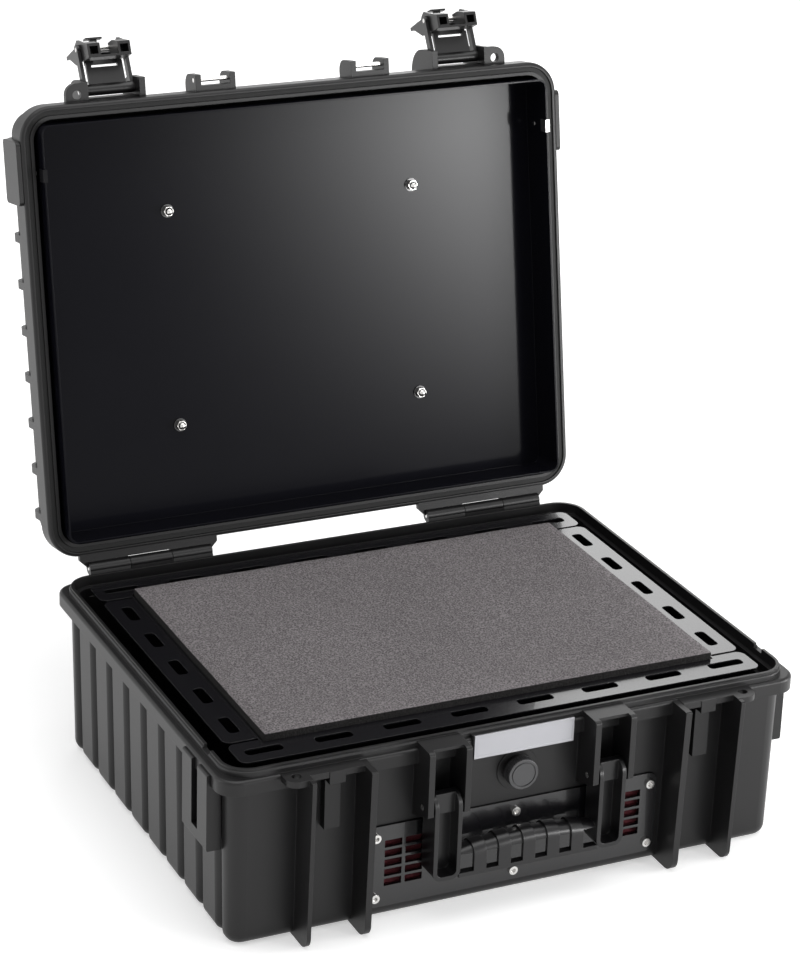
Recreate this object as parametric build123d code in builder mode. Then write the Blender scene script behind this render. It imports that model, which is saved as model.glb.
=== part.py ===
from build123d import *
from math import cos, radians, sin, sqrt, tan
import os

os.makedirs("parts", exist_ok=True)

# Battery transport case, in millimetres. X is the width, -Y the front, Z up from the underside of
# the base. The lid stands open; its pieces are drawn in the closed case's frame and turned back.

# Overall sizes
rim_width = 510
rim_depth = 395
rim_radius = 28
parting_height = 158
lid_height = 57
lid_open_angle = 100

# Base walls
side_overhang = 6.5
front_overhang = 7.5
wall_radius = 15
wall_draft = 0.85
side_wall = 3.5
floor_thickness = 4
bottom_edge_radius = 10
groove_count = 9
groove_pitch = 41.1
groove_width = 4.4
groove_depth = 4.75
groove_shoulder = 8
groove_shift = 0.15
inner_edge_radius = 8

# Base rim: wide flange with a hanging skirt, narrower land on it, tongue and inner ledge
ledge_height = 157
land_inset = 3.5
land_height = 5
land_rounding = 1.5
flange_side_reach = 2.5
flange_radius = 18
flange_rounding = 3
flange_thickness = 8
skirt_depth = 17.5
skirt_thickness = 3
tongue_inset = 5
tongue_width = 2.5
tongue_rise = 2
inner_ledge_height = 150
opening_inset = 11.5
opening_radius = 18
opening_depth = 8

# Latch fins on the base front
latch_x = 165.4
fin_gap = 46.4
outer_fin_width = 3.5
inner_fin_width = 5.5
fin_top_reach = 22.5
fin_foot_reach = 17.5
fin_nose_radius = 12
fin_top_gap = 0.5
fin_bevel = 1

# Keeper shelf, hanging boss and padlock eye
shelf_bottom = 146.7
shelf_thickness = 5.3
shelf_reach = 8.8
boss_width = 13.6
boss_bottom = 97
boss_reach = 8
boss_head_bottom = 141
boss_head_reach = 0.6
eye_x = 199
eye_y_reach = 6
eye_hole_radius = 4
eye_ring_radius = 10

# Handle towers
tower_x = 73.5
tower_rib_width = 5
tower_gap = 27
tower_reach = 20.5
tower_front_bottom = 100
tower_foot = 90
tower_plate_thickness = 2.5
tower_lip_setback = 6

# Carry handle
pivot_reach = 9.5
pivot_height = 105
handle_arm_width = 24
handle_depth = 22
handle_bottom = 41
handle_wall = 3.5
handle_channel_depth = 14
handle_cap_depth = 7.5
handle_cap_bottom = 98
handle_corner_radius = 8
handle_pin_radius = 2.5
grip_centre_top = 68.5
grip_end_top = 63
grip_bar_bottom = 60
grip_lip_top = 44.6
grip_rounding = 8
strap_count = 5
strap_pitch = 21.9
strap_width = 11
strap_rise = 1.6

# Vent panel, filters and backing plate
vent_width = 262
vent_bottom = 12
vent_top = 85
vent_corner_radius = 8
vent_thickness = 3
vent_seat_reach = 2.2
vent_screw_x = 123.7
vent_screw_heights = (21, 75.5)
slot_column_x = (89.75, 108)
slot_length = 15.2
slot_height = 6.4
slot_pitch = 8.7
slot_rows = 5
slot_top_row = 68.4
filter_x = 99
filter_width = 37.6
filter_bottom = 26.2
filter_height = 49.6
backing_reach = 9.8
backing_thickness = 3
collar_wall = 4
screw_radius = 2
screw_head_radius = 3.8
screw_head_height = 2.4
screw_socket_radius = 1.9
screw_socket_floor = 0.5
screw_boss_radius = 5

# Pressure valve
valve_height = 113.5
valve_pad_radius = 18
valve_pad_reach = 0.6
valve_inner_pad = 2.5
valve_stem_radius = 9
valve_flange_radius = 13
valve_flange_thickness = 3
valve_bore_radius = 3
valve_stem_length = 16
valve_ring_outer = 12
valve_ring_inner = 10.2
valve_ring_thickness = 1.2
valve_nut_flats = 26
valve_nut_thickness = 5
knob_radius = 13.4
knob_thickness = 8.4
knob_face_radius = 9.8
knob_face_depth = 0.8
knob_ridge_count = 36

# Label plate
label_width = 89
label_bottom = 135
label_top = 155.5
label_thickness = 1.5
label_pad_reach = 1.5
label_border = 1.6
label_border_depth = 0.3

# Strap brackets
bracket_y = -146
bracket_width = 52
bracket_reach = 5.5
bracket_bottom = 82
bracket_slot_bottom = 92.2
bracket_slot_width = 12.4
rim_notch_depth = 2
lid_bracket_y = -142
lid_bracket_width = 55
lid_bracket_bottom = 160
lid_bracket_top = 196
lid_bracket_thickness = 4

# Hinge
hinge_reach = 11.1
hinge_height = 157.8
hinge_x = 164
hinge_length = 129
knuckle_length = 39
knuckle_gap = 0.5
knuckle_clearance = 0.3
barrel_radius = 5.5
hinge_pin_radius = 2
leaf_thickness = 5
leaf_corner = 7
heel_thickness = 3
heel_gap = 0.4

# Inner box with slotted flanges
box_sheet = 1.5
box_inner_x = 203.5
box_inner_y = 147.5
box_floor = 12
box_flange_top = 155.8
box_flange_x = 233
box_flange_y = 176
flange_corner_radius = 7
flange_gap_y = 140.2
flange_gap = 3
box_slot_length = 32
box_slot_width = 9.5
box_slot_pitch = 59.4
box_slot_count = 8
box_slot_row_y = 160
side_slot_length = 28
side_slot_pitch = 55.6
side_slot_count = 5
side_slot_row_x = 217.8
box_slot_radius = 3.5
box_screw_x = 160
box_screw_y = 110
box_boss_radius = 8
box_boss_top = 8
spacer_radius = 12
box_screw_radius = 2.5
box_screw_head_radius = 5
box_screw_head_height = 3

# Foam lining
foam_gap = 0.3
foam_floor_top = 38
foam_wall_thickness = 25
foam_pad_x = 202
foam_pad_y = 147
foam_pad_top = 162
foam_pad_thickness = 25

# Lid walls and rim
lid_band_depth = 20
lid_side_inset = 7
lid_wall = 4
lid_top_radius = 12
lid_rib_width = 7
lid_rib_reach = 4.5
seal_groove_inset = 4
seal_groove_width = 4.5
seal_groove_depth = 6.5
seal_side_gap = 0.2
seal_tongue_gap = 0.3

# Latch ears and padlock eyes on the lid
ear_bottom_gap = 10
ear_reach = 16.5
ear_top_gap = 2
ear_rounding = 22
ear_pad_reach = 1.2
ear_pad_rise = 8
link_pivot_reach = 7.5
link_pivot_height = 183
link_pin_radius = 3.2
lid_eye_bottom_gap = 10
lid_eye_thickness = 6

# Latch link and lever
link_length = 36.5
link_rest_angle = 158.8
link_closed_angle = 260.4
link_rail_outer = 22.7
link_rail_width = 3
link_rail_half = 3.5
link_barrel_radius = 5
link_eye_radius = 4.2
link_plate_half_width = 16.5
link_plate_end = 19.5
link_plate_thickness = 3.5
link_slot_half = 12
link_bar = (22.5, 30)
link_bar_across = (-3.2, -1.2)
lever_half_width = 19.4
lever_pin_radius = 2
lever_rest_angle = 73.7
lever_cheek_width = 2.5
lever_front = 22
lever_block_inner = 8
lever_block_depth = 11
lever_block_wall = 2
lever_hook_gap = 0.5
lever_notch_end = 5.8
lever_tail = 37

# Tower hooks on the lid
hook_bottom_gap = 6
hook_reach = 14.5
hook_height = 26
hook_rounding = 10
hook_rod_radius = 2

# Liner tray with its bolts
liner_inset = 15
liner_sheet = 1.5
liner_corner_radius = 8
liner_drop = 11
liner_panel_height = 185
liner_bolt_x = 118
liner_bolt_rows = (-94, 98)
liner_bolt_radius = 2.5
liner_bolt_head_radius = 5.5
liner_bolt_head_height = 3
liner_boss_radius = 10
liner_washer_radius = 6
liner_washer_thickness = 1
sealing_washer_thickness = 1.5
cap_nut_flats = 8
cap_nut_height = 4
cap_dome_radius = 3.6
edge_clip_y = -140
edge_clip_width = 11
edge_clip_sheet = 1.2
edge_clip_height = 9
liner_rivet_height = 171
liner_rivet_radius = 1.2
liner_rivet_head = 2
liner_rivet_head_height = 0.7

# Clearances
running_gap = 0.05
press_gap = 0.02
fit_gap = 0.25

# Places worked out from the sizes above
rim_x = rim_width / 2
rim_y = rim_depth / 2
lid_top = parting_height + lid_height
wall_x = rim_x - side_overhang
wall_y = rim_y - front_overhang
flange_top = ledge_height - land_height
flange_x = rim_x + flange_side_reach
flange_bottom = ledge_height - flange_thickness
skirt_bottom = ledge_height - skirt_depth
tongue_x = rim_x - tongue_inset
tongue_y = rim_y - tongue_inset
tongue_top = ledge_height + tongue_rise
opening_x = rim_x - opening_inset
opening_y = rim_y - opening_inset
opening_floor = inner_ledge_height - opening_depth
draft_slope = tan(radians(wall_draft))
groove_reach = sqrt(groove_shoulder ** 2 - (groove_shoulder - groove_depth - groove_shift) ** 2)
groove_mouth = groove_width / 2 + groove_reach
bay_low = latch_x - fin_gap / 2
bay_high = latch_x + fin_gap / 2
outer_fin = (bay_high, bay_high + outer_fin_width)
inner_fin = (bay_low - inner_fin_width, bay_low)
shelf_top = shelf_bottom + shelf_thickness
shelf_front = rim_y + shelf_reach
fin_front = rim_y + fin_top_reach
fin_top = flange_top - fin_top_gap
hinge_y = rim_y + hinge_reach
pivot_y = -(rim_y + pivot_reach)
box_outer_x = box_inner_x + box_sheet
box_outer_y = box_inner_y + box_sheet
vent_seat = wall_y - vent_seat_reach
backing_front = vent_seat - backing_reach
valve_face = wall_y + valve_pad_reach
valve_inner_face = wall_y - side_wall - valve_inner_pad
bracket_face = rim_x + bracket_reach
lid_wall_x = rim_x - lid_side_inset
lid_wall_y = rim_y - lid_side_inset
lid_band_top = parting_height + lid_band_depth
ear_bottom = parting_height + ear_bottom_gap
link_pivot = (-(rim_y + link_pivot_reach), link_pivot_height)
lid_eye_bottom = parting_height + lid_eye_bottom_gap
hook_bottom = parting_height + hook_bottom_gap
liner_x = rim_x - liner_inset
liner_y = rim_y - liner_inset
liner_top = liner_panel_height + liner_sheet
liner_edge = parting_height - liner_drop


def both_sides(*numbers):
    """Each number with its mirror image, for pieces that stand left and right."""
    return [side * number for number in numbers for side in (-1, 1)]


def spread(count, pitch):
    """Evenly spaced places about zero."""
    return [(i - (count - 1) / 2) * pitch for i in range(count)]


def block(x, y, z, frame=Plane.XY, mode=Mode.ADD):
    """A block between three pairs of limits."""
    with BuildSketch(frame.offset(min(z))) as footprint:
        with Locations(((x[0] + x[1]) / 2, (y[0] + y[1]) / 2)):
            Rectangle(abs(x[1] - x[0]), abs(y[1] - y[0]))
    extrude(footprint.sketch, amount=abs(z[1] - z[0]), mode=mode)


def mirrored_block(x, y, z, frame=Plane.XY, mode=Mode.ADD):
    """The same block on the right and, mirrored, on the left."""
    block(x, y, z, frame, mode)
    block((-x[1], -x[0]), y, z, frame, mode)


def side_slab(outline, x, radii=0, frame=Plane.YZ, mode=Mode.ADD):
    """A side-view outline, as (y, z) points with their corner radii, extruded between two x limits."""
    with BuildSketch(frame.offset(min(x))) as side_view:
        with BuildLine():
            FilletPolyline(*outline, radius=radii, close=True)
        make_face()
    extrude(side_view.sketch, amount=abs(x[1] - x[0]), mode=mode)


def rounded_slab(x_size, y_size, radius, z, frame=Plane.XY, centre=(0, 0), mode=Mode.ADD):
    """A rounded rectangle extruded between two heights."""
    with BuildSketch(frame.offset(min(z))) as footprint:
        with Locations(centre):
            RectangleRounded(x_size, y_size, radius)
    extrude(footprint.sketch, amount=abs(z[1] - z[0]), mode=mode)


def rod(radius, x, centre, frame=Plane.YZ, mode=Mode.ADD):
    """A round rod along X between two x limits, with its centre at (y, z)."""
    with BuildSketch(frame.offset(min(x))) as section:
        with Locations(centre):
            Circle(radius)
    extrude(section.sketch, amount=abs(x[1] - x[0]), mode=mode)


def upright(radius, z, places, frame=Plane.XY, mode=Mode.ADD):
    """Round posts, or holes, along Z at the given (x, y) places."""
    with BuildSketch(frame.offset(min(z))) as section:
        with Locations(*places):
            Circle(radius)
    extrude(section.sketch, amount=abs(z[1] - z[0]), mode=mode)


def front_round(radius, y, places, mode=Mode.ADD):
    """Round posts, or holes, along Y at the given (x, z) places, between two y limits."""
    with BuildSketch(Plane.XZ.offset(-max(y))) as section:
        with Locations(*places):
            Circle(radius)
    extrude(section.sketch, amount=abs(y[1] - y[0]), mode=mode)


def front_slab(y, x_size, z_size, radius, centre, mode=Mode.ADD):
    """A rounded rectangle on the front wall, extruded between two y limits."""
    with BuildSketch(Plane.XZ.offset(-max(y))) as footprint:
        with Locations(centre):
            RectangleRounded(x_size, z_size, radius)
    extrude(footprint.sketch, amount=abs(y[1] - y[0]), mode=mode)


def wall_at(height):
    """How far out the drafted side wall stands at a height."""
    return wall_x - draft_slope * (flange_bottom - height)


def groove_section(side, height):
    """All the grooves of one side wall, drawn square to the drafted wall at a height."""
    draft = radians(wall_draft)
    down = (-side * sin(draft), 0, -cos(draft))
    with BuildSketch(Plane((side * wall_at(height), 0, height), x_dir=(0, 1, 0), z_dir=down)) as section:
        for y in groove_ys:
            with Locations((y, side * (1 - groove_depth) / 2)):
                Rectangle(2 * groove_mouth, groove_depth + 1)
            centre = side * (groove_shift - groove_shoulder)
            with Locations((y - groove_mouth, centre), (y + groove_mouth, centre)):
                Circle(groove_shoulder, mode=Mode.SUBTRACT)
    return section.sketch


def tub_inside():
    """The room inside the tub, with a rounded edge round its floor."""
    with BuildPart() as room:
        with BuildSketch(Plane.XY.offset(opening_floor)):
            RectangleRounded(
                2 * (wall_x - groove_depth - side_wall),
                2 * (wall_y - side_wall - 1),
                wall_radius - side_wall,
            )
        extrude(amount=floor_thickness - opening_floor, taper=wall_draft)
        fillet(room.faces().sort_by(Axis.Z)[0].edges(), inner_edge_radius)
    return room.part


def finish(piece, name):
    """Label a finished piece and write it out."""
    piece.part.label = name
    export_step(piece.part, f"parts/{name}.step")


groove_ys = spread(groove_count, groove_pitch)


def opened(y, z):
    """Where a closed lid's (y, z) point lies once the lid has turned open about the hinge."""
    turn = radians(-lid_open_angle)
    away = y - hinge_y
    above = z - hinge_height
    return (
        hinge_y + away * cos(turn) - above * sin(turn),
        hinge_height + away * sin(turn) + above * cos(turn),
    )


def opened_side(x, y, z, angle):
    """Side view of the opened lid from one of its points, with its x axis at an angle in the closed lid."""
    turn = radians(angle - lid_open_angle)
    return Plane(origin=(x, *opened(y, z)), x_dir=(0, cos(turn), sin(turn)), z_dir=(1, 0, 0))


# The closed lid's side, top and front views, turned open with it
lid_side = opened_side(0, 0, 0, 0)
lid_frame = Plane(origin=lid_side.origin, x_dir=(1, 0, 0), z_dir=lid_side.y_dir)
lid_front = Plane(origin=lid_side.origin, x_dir=(1, 0, 0), z_dir=-lid_side.x_dir)
lid_up = Axis(lid_frame.origin, lid_frame.z_dir)


# Base shell
with BuildPart() as base_shell:
    # Tub, drafted towards the floor
    with BuildSketch(Plane.XY.offset(flange_bottom)):
        RectangleRounded(2 * wall_x, 2 * wall_y, wall_radius)
    extrude(amount=-flange_bottom, taper=wall_draft)
    fillet(base_shell.faces().sort_by(Axis.Z)[0].edges(), bottom_edge_radius)
    # Grooves down both side walls and round the bottom edge, with rounded shoulders
    groove_top = skirt_bottom - 1
    groove_turn = bottom_edge_radius * (1 - sin(radians(wall_draft)))
    turn_x = wall_at(groove_turn) - bottom_edge_radius * cos(radians(wall_draft))
    for side in (-1, 1):
        extrude(groove_section(side, groove_top), mode=Mode.SUBTRACT,
                amount=(groove_top - groove_turn) / cos(radians(wall_draft)))
        revolve(groove_section(side, groove_turn), mode=Mode.SUBTRACT, revolution_arc=90 - wall_draft,
                axis=Axis((side * turn_x, 0, bottom_edge_radius), (0, side, 0)))
    # Rim flange with its land, and the hanging skirt
    rounded_slab(2 * flange_x, rim_depth, flange_radius, (skirt_bottom, flange_top))
    fillet(base_shell.faces().sort_by(Axis.Z)[-1].edges(), flange_rounding)
    rounded_slab(rim_width - 2 * land_inset, rim_depth - 2 * land_inset, rim_radius - land_inset,
                 (flange_bottom, ledge_height))
    fillet(base_shell.faces().sort_by(Axis.Z)[-1].edges(), land_rounding)
    with BuildSketch(Plane.XY.offset(skirt_bottom)):
        RectangleRounded(
            2 * flange_x - 2 * skirt_thickness,
            rim_depth - 2 * skirt_thickness,
            flange_radius - skirt_thickness,
        )
        RectangleRounded(2 * wall_x, 2 * wall_y, wall_radius, mode=Mode.SUBTRACT)
    extrude(amount=flange_bottom - skirt_bottom, mode=Mode.SUBTRACT)
    # Tongue that enters the lid's groove
    rounded_slab(2 * tongue_x, 2 * tongue_y, rim_radius - tongue_inset, (flange_bottom, tongue_top))
    # No skirt in the two latch bays, below the keeper shelves
    mirrored_block((bay_low, bay_high), (-rim_y - 1, -wall_y), (skirt_bottom - 1, shelf_bottom),
                   mode=Mode.SUBTRACT)

    # Latch fins
    for fin in (outer_fin, inner_fin):
        for x in (fin, (-fin[1], -fin[0])):
            side_slab(
                (
                    (-wall_y + 10, 0),
                    (-rim_y - fin_foot_reach + 1, 0),
                    (-fin_front, fin_top - fin_bevel),
                    (-fin_front + fin_bevel, fin_top),
                    (-wall_y + 4, fin_top),
                ),
                x,
                (0, fin_nose_radius, 0, 0, 0),
            )
    # Keeper shelves and hanging bosses
    mirrored_block((bay_low, bay_high), (-shelf_front, -wall_y + 1), (shelf_bottom, shelf_top))
    mirrored_block(
        (latch_x - boss_width / 2, latch_x + boss_width / 2),
        (-wall_y - boss_reach, -wall_y + 2),
        (boss_bottom, shelf_bottom),
    )
    mirrored_block(
        (latch_x - boss_width / 2, latch_x + boss_width / 2),
        (-shelf_front - boss_head_reach, -wall_y),
        (boss_head_bottom, shelf_top),
    )
    # Padlock eyes
    for side in (-1, 1):
        with BuildSketch(Plane.XY.offset(shelf_bottom)):
            with Locations((side * eye_x, -rim_y - eye_y_reach)):
                Circle(eye_ring_radius)
            with Locations((side * (outer_fin[0] + eye_x) / 2, -rim_y - eye_y_reach)):
                Rectangle(eye_x - outer_fin[0], 2 * eye_ring_radius)
            with Locations((side * (outer_fin[0] + eye_x + eye_ring_radius) / 2, -rim_y)):
                Rectangle(eye_x + eye_ring_radius - outer_fin[0], 2 * eye_y_reach)
        extrude(amount=shelf_thickness)
    upright(eye_hole_radius, (shelf_bottom, shelf_top),
            [(x, -rim_y - eye_y_reach) for x in both_sides(eye_x)], mode=Mode.SUBTRACT)

    # Handle towers: two ribs each, with a plate across the top
    tower_ribs = [
        (tower_x - tower_gap / 2 - tower_rib_width, tower_x - tower_gap / 2),
        (tower_x + tower_gap / 2, tower_x + tower_gap / 2 + tower_rib_width),
    ]
    for rib in tower_ribs:
        for x in (rib, (-rib[1], -rib[0])):
            side_slab(
                (
                    (-wall_y + 2, tower_foot),
                    (-rim_y - tower_reach, tower_front_bottom),
                    (-rim_y - tower_reach, ledge_height),
                    (-wall_y + 2, ledge_height),
                ),
                x,
                (0, 2, 3, 0),
            )
    mirrored_block(
        (tower_ribs[0][0], tower_ribs[1][1]),
        (-rim_y - tower_reach + tower_lip_setback, -wall_y + 2),
        (ledge_height - tower_plate_thickness, ledge_height),
    )
    for side in (-1, 1):
        rod(
            handle_pin_radius + press_gap,
            (side * (tower_ribs[0][0] - 1), side * (tower_ribs[1][1] + 1)),
            (pivot_y, pivot_height),
            mode=Mode.SUBTRACT,
        )

    # Label pad on the front rim
    block(
        (-label_width / 2 - 1, label_width / 2 + 1),
        (-rim_y - label_pad_reach, -rim_y + land_inset + 1),
        (skirt_bottom - 6, label_top - 0.5),
    )
    # Valve pad
    front_round(valve_pad_radius, (-valve_face, -wall_y + side_wall), [(0, valve_height)])

    # Inside of the tub
    add(tub_inside(), mode=Mode.SUBTRACT)
    # Pockets behind the lobes between the grooves
    lobe_half = groove_pitch / 2 - groove_mouth + 1
    for y in spread(groove_count - 1, groove_pitch):
        mirrored_block(
            (wall_x - groove_depth - side_wall - 8, wall_x - side_wall - 2),
            (y - lobe_half, y + lobe_half),
            (floor_thickness + bottom_edge_radius, opening_floor - 4),
            mode=Mode.SUBTRACT,
        )
    rounded_slab(2 * opening_x, 2 * opening_y, opening_radius, (opening_floor - 0.5, tongue_top),
                 mode=Mode.SUBTRACT)
    rounded_slab(
        2 * (tongue_x - tongue_width),
        2 * (tongue_y - tongue_width),
        rim_radius - tongue_inset - tongue_width,
        (inner_ledge_height, tongue_top + 1),
        mode=Mode.SUBTRACT,
    )

    # Bosses under the inner box
    upright(box_boss_radius, (floor_thickness / 2, box_boss_top),
            [(x, y) for x in both_sides(box_screw_x) for y in both_sides(box_screw_y)])
    upright(box_screw_radius, (floor_thickness / 2, box_boss_top),
            [(x, y) for x in both_sides(box_screw_x) for y in both_sides(box_screw_y)], mode=Mode.SUBTRACT)

    # Vent: collars and screw bosses inside, seat and openings in the wall
    collar_x = filter_width + 2 * fit_gap + 2 * collar_wall
    collar_z = filter_height + 2 * fit_gap + 2 * collar_wall
    filter_z = filter_bottom + filter_height / 2
    for x in both_sides(filter_x):
        front_slab((-backing_front, -wall_y + side_wall), collar_x, collar_z, 2, (x, filter_z))
    vent_screws = [(x, z) for x in (-vent_screw_x, 0, vent_screw_x) for z in vent_screw_heights]
    front_round(screw_boss_radius, (-backing_front, -wall_y + side_wall), vent_screws)
    front_slab(
        (-vent_seat, -rim_y),
        vent_width + 2 * fit_gap,
        vent_top - vent_bottom + 2 * fit_gap,
        vent_corner_radius,
        (0, (vent_top + vent_bottom) / 2),
        mode=Mode.SUBTRACT,
    )
    for x in both_sides(filter_x):
        front_slab((-backing_front, -rim_y), filter_width + 2 * fit_gap, filter_height + 2 * fit_gap, 1,
                   (x, filter_z), mode=Mode.SUBTRACT)
    front_round(screw_radius + fit_gap, (-backing_front, -rim_y), vent_screws, mode=Mode.SUBTRACT)
    front_round(valve_pad_radius, (-wall_y + 1, -valve_inner_face), [(0, valve_height)])
    front_round(valve_stem_radius + fit_gap, (-valve_face, -valve_inner_face), [(0, valve_height)],
                mode=Mode.SUBTRACT)

    # Notches in the rim beside the strap brackets
    for side in (-1, 1):
        block(
            (side * (opening_x - 1), side * flange_x),
            (bracket_y - bracket_slot_width / 2, bracket_y + bracket_slot_width / 2),
            (ledge_height - rim_notch_depth, tongue_top + 1),
            mode=Mode.SUBTRACT,
        )

    # Middle hinge knuckles with their webs
    for side in (-1, 1):
        knuckle = (side * hinge_x - knuckle_length / 2, side * hinge_x + knuckle_length / 2)
        side_slab(
            (
                (rim_y - 4, skirt_bottom),
                (rim_y, skirt_bottom),
                (hinge_y, hinge_height - barrel_radius),
                (hinge_y, hinge_height),
                (rim_y - 4, flange_top + 1),
            ),
            knuckle,
        )
        rod(barrel_radius, knuckle, (hinge_y, hinge_height))
        rod(hinge_pin_radius + press_gap, knuckle, (hinge_y, hinge_height), mode=Mode.SUBTRACT)

finish(base_shell, "base_shell")


# Screws, panel, filters and backing plate of the vent
with BuildPart() as vent_panel:
    panel_y = (-vent_seat - vent_thickness, -vent_seat)
    front_slab(panel_y, vent_width, vent_top - vent_bottom, vent_corner_radius,
               (0, (vent_top + vent_bottom) / 2))
    with BuildSketch(Plane.XZ.offset(vent_seat + vent_thickness)) as slots:
        with Locations(*[
            (x, slot_top_row - row * slot_pitch)
            for x in both_sides(*slot_column_x)
            for row in range(slot_rows)
        ]):
            RectangleRounded(slot_length, slot_height, 0.6)
    extrude(slots.sketch, amount=-vent_thickness, mode=Mode.SUBTRACT)
    front_round(screw_radius + fit_gap, panel_y, vent_screws, mode=Mode.SUBTRACT)
finish(vent_panel, "vent_panel")

with BuildPart() as vent_panel_screws:
    head_y = -vent_seat - vent_thickness
    front_round(screw_head_radius, (head_y - screw_head_height, head_y), vent_screws)
    front_round(screw_radius, (head_y, -backing_front + backing_thickness + 1), vent_screws)
    front_round(screw_socket_radius, (head_y - screw_head_height, head_y - screw_socket_floor), vent_screws,
                mode=Mode.SUBTRACT)
finish(vent_panel_screws, "vent_panel_screws")

with BuildPart() as vent_filters:
    for x in both_sides(filter_x):
        front_slab((-vent_seat + fit_gap, -backing_front), filter_width, filter_height, 1, (x, filter_z))
finish(vent_filters, "vent_filters")

with BuildPart() as vent_backing_plate:
    backing_y = (-backing_front, -backing_front + backing_thickness)
    front_slab(backing_y, vent_width, filter_height + 3 * collar_wall, vent_corner_radius, (0, filter_z - 2))
    for x in both_sides(filter_x):
        front_slab(backing_y, filter_width - collar_wall, filter_height - collar_wall, 2, (x, filter_z),
                   mode=Mode.SUBTRACT)
    front_round(screw_radius + press_gap, backing_y, vent_screws, mode=Mode.SUBTRACT)
finish(vent_backing_plate, "vent_backing_plate")

# Pressure valve
valve_place = [(0, valve_height)]
with BuildPart() as valve_body:
    front_round(valve_flange_radius, (-valve_face - valve_flange_thickness, -valve_face), valve_place)
    front_round(valve_stem_radius, (-valve_face, -valve_face + valve_stem_length), valve_place)
    front_round(valve_ring_outer, (-valve_face - valve_ring_thickness, -valve_face), valve_place,
                mode=Mode.SUBTRACT)
    front_round(valve_ring_inner, (-valve_face - valve_ring_thickness, -valve_face), valve_place)
    front_round(valve_bore_radius, (-valve_face - valve_flange_thickness, -valve_face + valve_stem_length),
                valve_place, mode=Mode.SUBTRACT)
finish(valve_body, "valve_body")

with BuildPart() as valve_seal_ring:
    front_round(valve_ring_outer - press_gap, (-valve_face - valve_ring_thickness, -valve_face), valve_place)
    front_round(valve_ring_inner + press_gap, (-valve_face - valve_ring_thickness, -valve_face), valve_place,
                mode=Mode.SUBTRACT)
finish(valve_seal_ring, "valve_seal_ring")

with BuildPart() as valve_nut:
    with BuildSketch(Plane.XZ.offset(valve_inner_face)):
        with Locations((0, valve_height)):
            RegularPolygon(valve_nut_flats / 2, 6, major_radius=False)
            Circle(valve_stem_radius + press_gap, mode=Mode.SUBTRACT)
    extrude(amount=-valve_nut_thickness)
finish(valve_nut, "valve_nut")

with BuildPart() as valve_knob:
    knob_back = -valve_face - valve_flange_thickness - running_gap
    knob_front = knob_back - knob_thickness
    front_round(knob_radius, (knob_front, knob_back), valve_place)
    fillet(valve_knob.faces().sort_by(Axis.Y)[0].edges(), 1)
    with BuildSketch(Plane.XZ.offset(-knob_front)):
        with Locations((0, valve_height)):
            Circle(knob_face_radius + 1)
            Circle(knob_face_radius, mode=Mode.SUBTRACT)
    extrude(amount=-knob_face_depth, mode=Mode.SUBTRACT)
    with BuildSketch(Plane.XZ.offset(-knob_front)):
        with Locations((0, valve_height)):
            with PolarLocations(knob_radius + 0.4, knob_ridge_count):
                Circle(0.8)
    extrude(amount=-knob_thickness + 1.5, mode=Mode.SUBTRACT)
    front_round(valve_bore_radius - running_gap, (knob_back, -valve_face + 4), valve_place)
finish(valve_knob, "valve_knob")

# Label plate, bent over the rim's ledge
with BuildPart() as label_plate:
    label_back = -rim_y - label_pad_reach
    block((-label_width / 2, label_width / 2), (label_back - label_thickness, label_back),
          (label_bottom, label_top))
    block(
        (-label_width / 2 + label_border, label_width / 2 - label_border),
        (label_back - label_thickness, label_back - label_thickness + label_border_depth),
        (label_bottom + label_border, label_top - label_border),
        mode=Mode.SUBTRACT,
    )
finish(label_plate, "label_plate")

# Strap brackets on the base, one on each side wall
with BuildPart() as base_strap_brackets:
    bracket_foot = wall_at(bracket_bottom) + fit_gap
    bracket_back = wall_at(skirt_bottom) + fit_gap
    bracket_top = flange_top - flange_rounding
    for side in (-1, 1):
        with BuildSketch(Plane.XZ.offset(-bracket_y)) as bracket_section:
            with BuildLine():
                FilletPolyline(
                    (side * bracket_foot, bracket_bottom),
                    (side * bracket_face, bracket_bottom),
                    (side * bracket_face, bracket_top),
                    (side * (flange_x + running_gap), bracket_top),
                    (side * (flange_x + running_gap), skirt_bottom - fit_gap),
                    (side * bracket_back, skirt_bottom - fit_gap),
                    radius=(0, 1.5, 2, 0, 0, 0),
                    close=True,
                )
            make_face()
        extrude(bracket_section.sketch, amount=bracket_width / 2, both=True)
        block(
            (side * (bracket_foot - 2), side * (bracket_face + 1)),
            (bracket_y - bracket_slot_width / 2, bracket_y + bracket_slot_width / 2),
            (bracket_slot_bottom, ledge_height),
            mode=Mode.SUBTRACT,
        )
finish(base_strap_brackets, "base_strap_brackets")

# Hinge pins
hinge_ends = (hinge_x - hinge_length / 2 + leaf_corner, hinge_x + hinge_length / 2 - leaf_corner)
with BuildPart() as hinge_pins:
    rod(hinge_pin_radius, hinge_ends, (hinge_y, hinge_height))
    rod(hinge_pin_radius, (-hinge_ends[0], -hinge_ends[1]), (hinge_y, hinge_height))
finish(hinge_pins, "hinge_pins")

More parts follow.
